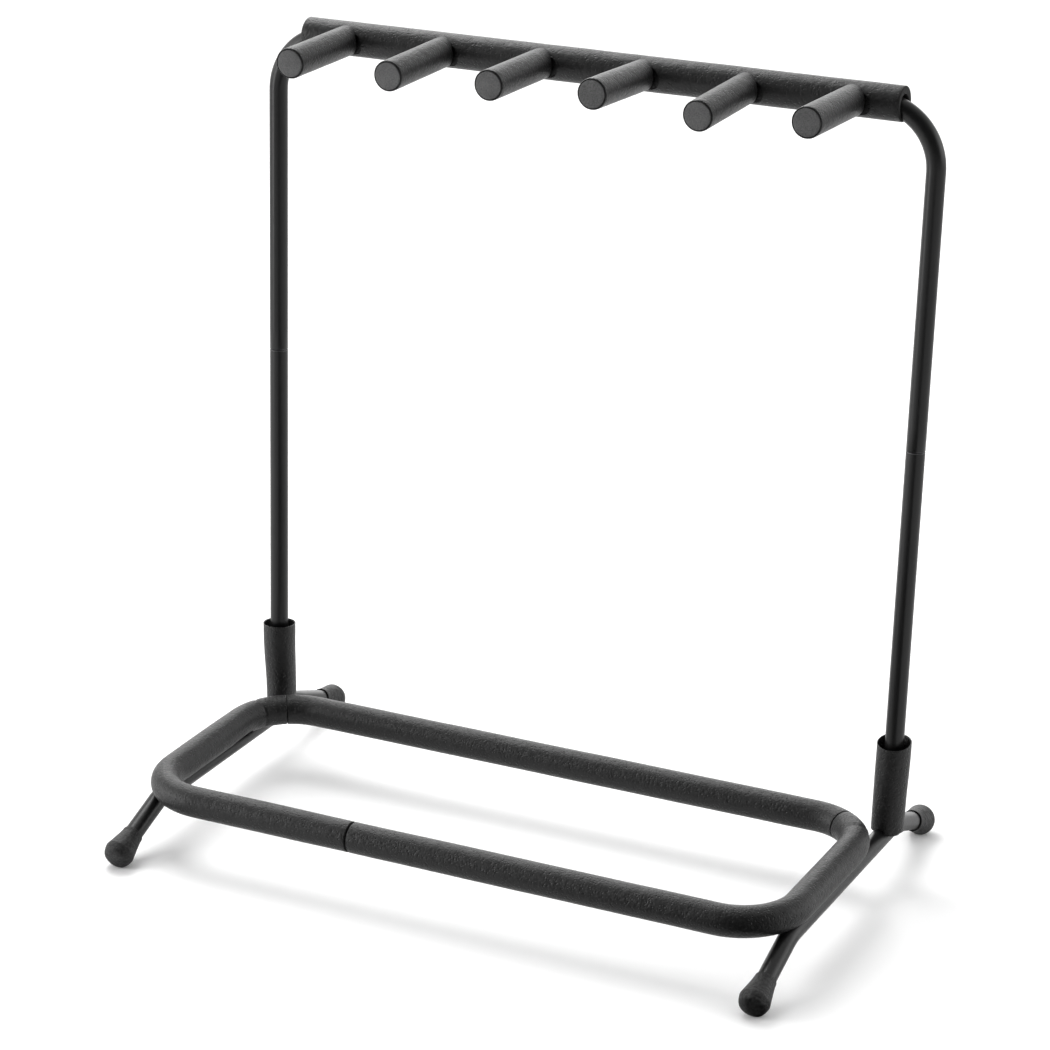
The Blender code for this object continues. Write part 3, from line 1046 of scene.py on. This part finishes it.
class RACK_OT_rail_foam(bpy.types.Operator):
    """Fit the foam tube on the rail"""

    bl_idname = "rack.rail_foam"
    bl_label = "Rail foam"

    steps = 96

    def execute(self, context):
        piece = self.make_tube()
        hold(piece, "foam_skin", "foam_cut")
        for face in piece.data.polygons:
            face.material_index = int(abs(face.normal.x) > 0.9)
        round_edges(piece, FOAM_EDGE, 3)
        route, radius = frame_corners(JOINT_Z + JOINT_REVEAL), sizes().tube_radius
        take_away(piece, solid_route("frame_space", route, FRAME_BEND_R, radius + CLEARANCE, 20))
        for index in range(len(PEG_TILTS)):
            root, direction = peg_root(index), peg_direction(index)
            end = root + direction * 0.03
            take_away(piece, bar("peg_space", root, end, radius + PEG_CLEARANCE))
            floor = root + PEG_SLACK_SHIFT + direction * PEG_SLACK_DEPTH
            take_away(piece, bar("peg_slack", floor, floor + direction * 0.02, PEG_SLACK_R))
        roughen(piece, "rail_foam", spread=0.06, height=sizes().unevenness)
        finish(piece, "upper_frame", "rail_foam", "black_foam", "foam_skin", "foam_cut")
        return {"FINISHED"}

    def make_tube(self):
        """The skin, and a bore that widens and sags towards both mouths."""
        centre, radius, half = rail_centre(), sizes().rail_foam_radius, RAIL_FOAM_HALF
        along, sag = Vector((1, 0, 0)), Vector((0, 0, -RAIL_FOAM_SAG))
        piece = start_ring("rail_foam_fine", centre - along * half, along, radius)
        draw_out(along * 2 * half, self.steps)
        mouth, bore = RAIL_FOAM_MOUTH, RAIL_FOAM_BORE
        draw_through([
            (radius, centre + along * half), (mouth, centre + along * half + sag),
            (mouth, centre + along * (half - 0.012) + sag), (bore, centre + along * (half - 0.035)),
            (bore, centre - along * (half - 0.035)), (mouth, centre - along * (half - 0.012) + sag),
            (mouth, centre - along * half + sag),
        ])
        close_loop()
        face_outwards()
        return piece


class RACK_OT_pegs(bpy.types.Operator):
    """Fit the foam sleeves and end caps of the six pegs"""

    bl_idname = "rack.pegs"
    bl_label = "Pegs"

    skin_steps = 24

    def make_foam(self, index):
        name = f"peg_foam_{index + 1}"
        root = peg_root(index)
        piece = turn_up(name + "_fine", root, peg_direction(index), self.foam_profile())
        close_loop()
        face_outwards()
        reach = Vector((0.03, 0, 0))
        radius = sizes().rail_foam_radius + CLEARANCE
        take_away(piece, bar("rail_space", root - reach, root + reach, radius, 64))
        roughen(piece, name, spread=0.04, height=sizes().unevenness * 0.6)
        finish(piece, "upper_frame", name, "black_foam", "foam_skin")

    def foam_profile(self):
        """(radius, height) along the skin, over the rim, past the cap's edge and down the bore."""
        radius, start, end = sizes().peg_foam_radius, PEG_FOAM_START, PEG_REACH - 0.0005
        seat = PEG_REACH - PEG_CAP_THICKNESS - 0.0006
        run = (end - start - 0.0012) / self.skin_steps
        skin = [(radius, start + run * step) for step in range(self.skin_steps + 1)]
        return [
            *skin, (radius - 0.00015, end - 0.0006), (radius - 0.0004, end - 0.0002),
            (radius - 0.0007, end), (0.0122, end - 0.0002), (0.01205, end - 0.0008),
            (0.0120, seat), (PEG_FOAM_BORE, seat), (PEG_FOAM_BORE, start),
        ]

    def make_cap(self, index):
        name = f"peg_cap_{index + 1}"
        tip, head = PEG_REACH, PEG_REACH - PEG_CAP_THICKNESS
        profile = (
            (0.0040, head - 0.0140), (0.0055, head - 0.0138), (0.0060, head - 0.0128),
            (0.0060, head), (0.0112, head), (0.0115, head + 0.0003), (0.0116, tip - 0.0009),
            (0.01145, tip - 0.0005), (0.0111, tip - 0.00025), (0.0106, tip - 0.00015),
            (0.0080, tip - 0.0001), (0.0045, tip - 0.00005), (0.0015, tip),
        )
        piece = turn_up(name + "_fine", peg_root(index), peg_direction(index), profile)
        close_ends()
        face_outwards()
        finish(piece, "upper_frame", name, "black_plastic", "cap_plastic")

    def execute(self, context):
        for index in range(len(PEG_TILTS)):
            self.make_foam(index)
            self.make_cap(index)
        return {"FINISHED"}


# ---------------- studio

CAMERA_PLACE = Vector((1.22382, -2.47767, 1.34291))
CAMERA_RIGHT = Vector((0.89597, 0.44411, 0.0034))
CAMERA_UP = Vector((-0.16005, 0.31573, 0.93525))
CAMERA_LENS = 122.14

CARD_WAY = Vector((0.443, -0.896, 0.0))
CARD_DISTANCE = 2.35
CARD_SIZE = (0.74, 4.1, 1.0)

# Where the tent opens, then where it glows: the way it lies, how closely a ray has to
# point that way for the change to begin and to end, and the strengths there
TENT_OPENING = ((0.42, -0.88, 0.22), 0.05, 0.75, 1.12, 0.11)
TENT_GLOWS = (
    ((-0.896, -0.444, 0.10), 0.80, 0.95, 0.0, 2.2),
    ((0.896, 0.444, 0.10), 0.80, 0.95, 0.0, 1.6),
    ((-0.38, 0.92, 0.06), 0.80, 0.97, 0.0, 1.9),
)


class RACK_OT_studio(bpy.types.Operator):
    """Set up the floor, the light and the camera"""

    bl_idname = "rack.studio"
    bl_label = "Studio"

    def make_floor(self):
        put_all_down()
        bpy.ops.mesh.primitive_plane_add(size=60.0, location=(0, 0, -0.0002))
        floor = bpy.context.object
        floor.name = "studio_floor"
        material, tree, shader = new_finish("floor_paper", colours().floor, 0.9, specular=0.1)
        shader.inputs["Emission Color"].default_value = (1.0, 1.0, 1.0, 1.0)
        shader.inputs["Emission Strength"].default_value = 0.08
        fibres = noise(tree, object_place(tree), 40.0, 3.0)
        raise_surface(tree, shader, fibres, 0.0002, 0.3)
        floor.data.materials.append(material)

    def make_world(self):
        """A pale tent: bright above, behind and at the sides, with a dark opening at the front."""
        world = bpy.data.worlds.new("tent")
        bpy.context.scene.world = world
        world.use_nodes = True
        tree = world.node_tree
        back = tree.nodes["Background"]
        strength = self.lean_towards(tree, *TENT_OPENING)
        for glow in TENT_GLOWS:
            strength = math_node(tree, "ADD", strength, self.lean_towards(tree, *glow))
        back.inputs["Color"].default_value = (1.0, 1.0, 1.0, 1.0)
        seen = tree.nodes.new("ShaderNodeLightPath").outputs["Is Camera Ray"]
        tree.links.new(blend(tree, "FLOAT", seen, strength, 1.0), back.inputs["Strength"])

    @staticmethod
    def lean_towards(tree, direction, low, high, off, on):
        """Goes from the first strength to the second as a ray turns to this direction."""
        dot = add_node(tree, "ShaderNodeVectorMath", operation="DOT_PRODUCT")
        way = tree.nodes.new("ShaderNodeTexCoord").outputs["Generated"]
        tree.links.new(way, dot.inputs[0])
        dot.inputs[1].default_value = Vector(direction).normalized()
        return spread_out(tree, dot.outputs["Value"], low, high, off, on)

    def make_card(self):
        """A black card that lies in front, and shows only in what the pieces reflect."""
        put_all_down()
        middle = CARD_WAY * CARD_DISTANCE
        bpy.ops.mesh.primitive_plane_add(size=1.0, location=(middle.x, middle.y, 0.0004))
        card = bpy.context.object
        card.name = "studio_card"
        card.scale = CARD_SIZE
        card.rotation_euler = (0.0, 0.0, math.atan2(CARD_WAY.x, -CARD_WAY.y))
        bpy.ops.object.transform_apply(location=True, rotation=True, scale=True)
        material, _, _ = new_finish("card_black", (0.02, 0.02, 0.02), 1.0, specular=0.0)
        card.data.materials.append(material)
        for ray in ("camera", "diffuse", "shadow", "transmission"):
            setattr(card, "visible_" + ray, False)

    def make_lamp(self, name, place, aim, size, power, gloss):
        put_all_down()
        turn = (Vector(aim) - Vector(place)).to_track_quat("-Z", "Y").to_euler()
        bpy.ops.object.light_add(type="AREA", location=place, rotation=turn)
        lamp = bpy.context.object
        lamp.name = name
        lamp.data.shape = "RECTANGLE"
        lamp.data.size, lamp.data.size_y = size
        lamp.data.energy = power
        lamp.data.specular_factor = gloss

    def make_camera(self):
        put_all_down()
        turn = Matrix((CAMERA_RIGHT, CAMERA_UP, CAMERA_RIGHT.cross(CAMERA_UP))).transposed()
        bpy.ops.object.camera_add(location=CAMERA_PLACE, rotation=turn.to_euler())
        camera = bpy.context.object
        camera.name = "camera"
        camera.data.lens = CAMERA_LENS
        camera.data.sensor_width = 36.0
        camera.data.clip_end = 200.0
        bpy.context.scene.camera = camera

    def execute(self, context):
        self.make_floor()
        self.make_card()
        self.make_world()
        self.make_lamp(
            "key_lamp", place=(-1.4, 1.2, 2.6), aim=(0, 0, 0.1), size=(1.6, 1.6),
            power=48.0, gloss=0.45)
        self.make_lamp(
            "left_lamp", place=(-1.4, -1.0, 0.6), aim=(-0.3, 0, 0.4), size=(0.4, 1.0),
            power=7.0, gloss=1.0)
        self.make_camera()
        context.scene.view_settings.view_transform = "Standard"
        context.scene.view_settings.look = "None"
        context.scene.view_settings.gamma = 0.88
        return {"FINISHED"}


# ---------------- panel and main

PIECE_OPERATORS = (
    RACK_OT_finishes,
    RACK_OT_leg_tubes,
    RACK_OT_boots,
    RACK_OT_sockets,
    RACK_OT_ring_foam,
    RACK_OT_lower_posts,
    RACK_OT_upper_frame,
    RACK_OT_rail_foam,
    RACK_OT_pegs,
    RACK_OT_studio,
)


class RACK_PT_panel(bpy.types.Panel):
    """Sizes, colours and the steps that build the rack"""

    bl_idname = "RACK_PT_panel"
    bl_label = "Guitar Rack"
    bl_space_type = "VIEW_3D"
    bl_region_type = "UI"
    bl_category = "Guitar Rack"

    def draw(self, context):
        for settings in (context.scene.rack_sizes, context.scene.rack_colours):
            box = self.layout.box()
            for key in settings.__annotations__:
                box.prop(settings, key)
        column = self.layout.column()
        for operator in PIECE_OPERATORS:
            column.operator(operator.bl_idname)


CLASSES = (RackSizes, RackColours, *PIECE_OPERATORS, RACK_PT_panel)


def register():
    for cls in CLASSES:
        bpy.utils.register_class(cls)
    bpy.types.Scene.rack_sizes = PointerProperty(type=RackSizes)
    bpy.types.Scene.rack_colours = PointerProperty(type=RackColours)


def unregister():
    del bpy.types.Scene.rack_colours
    del bpy.types.Scene.rack_sizes
    for cls in reversed(CLASSES):
        bpy.utils.unregister_class(cls)


def main():
    register()
    for operator in PIECE_OPERATORS:
        group, name = operator.bl_idname.split(".")
        getattr(getattr(bpy.ops, group), name)()
    put_all_down()


if __name__ == "__main__":
    main()
